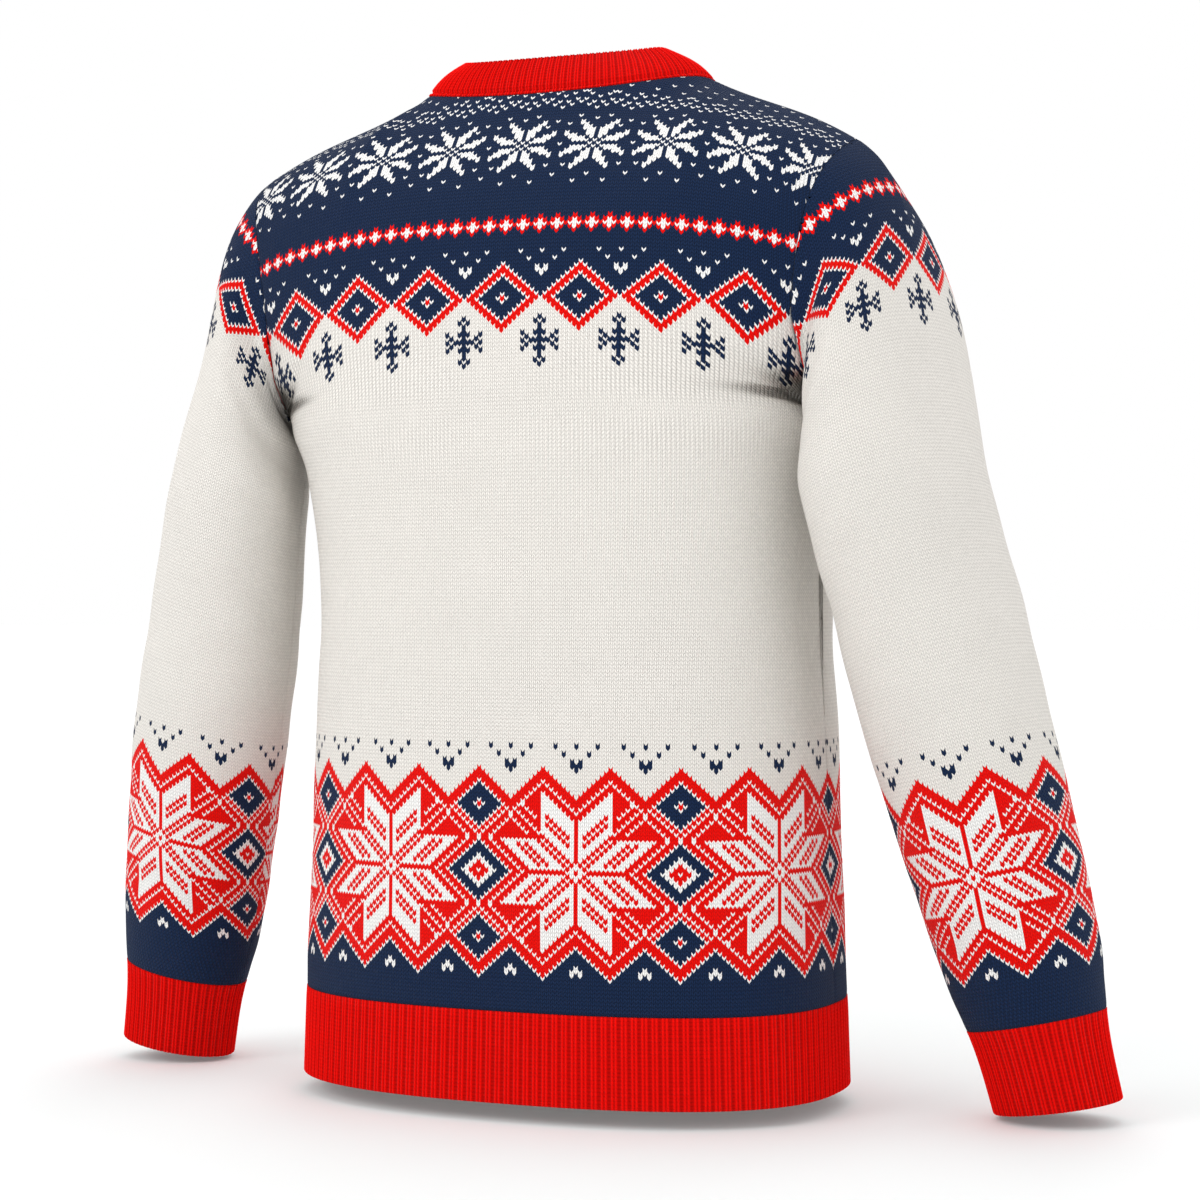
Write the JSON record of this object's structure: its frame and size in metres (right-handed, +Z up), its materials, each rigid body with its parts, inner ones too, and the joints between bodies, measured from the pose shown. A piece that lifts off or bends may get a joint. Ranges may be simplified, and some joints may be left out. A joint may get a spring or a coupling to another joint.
{
  "type": "christmas sweater",
  "caption": "Long-sleeved knitted pullover with a ribbed crew neck, cuffs and hem, filled out as if worn, with a winter yoke band and a band of large stars above the hem and cuffs.",
  "frame": {"origin": "centre of the base of the neck opening, level with the neck points of the shoulder seams", "axes": "+Z up towards the head, the front of the sweater faces -Y, the wearer's left is +X"},
  "size_m": [0.764, 0.2561, 0.7298],
  "materials": {
    "patterned_knit": "matt stocking-stitch wool in cream, navy, red and white",
    "red_rib": "matt red ribbed wool"
  },
  "bodies": {
    "root": {"front": "patterned_knit", "back": "patterned_knit", "sleeve_left": "patterned_knit", "sleeve_right": "patterned_knit", "neck_rib": "red_rib", "hem_rib_front": "red_rib", "hem_rib_back": "red_rib", "cuff_left": "red_rib", "cuff_right": "red_rib"}
  },
  "joints": []
}
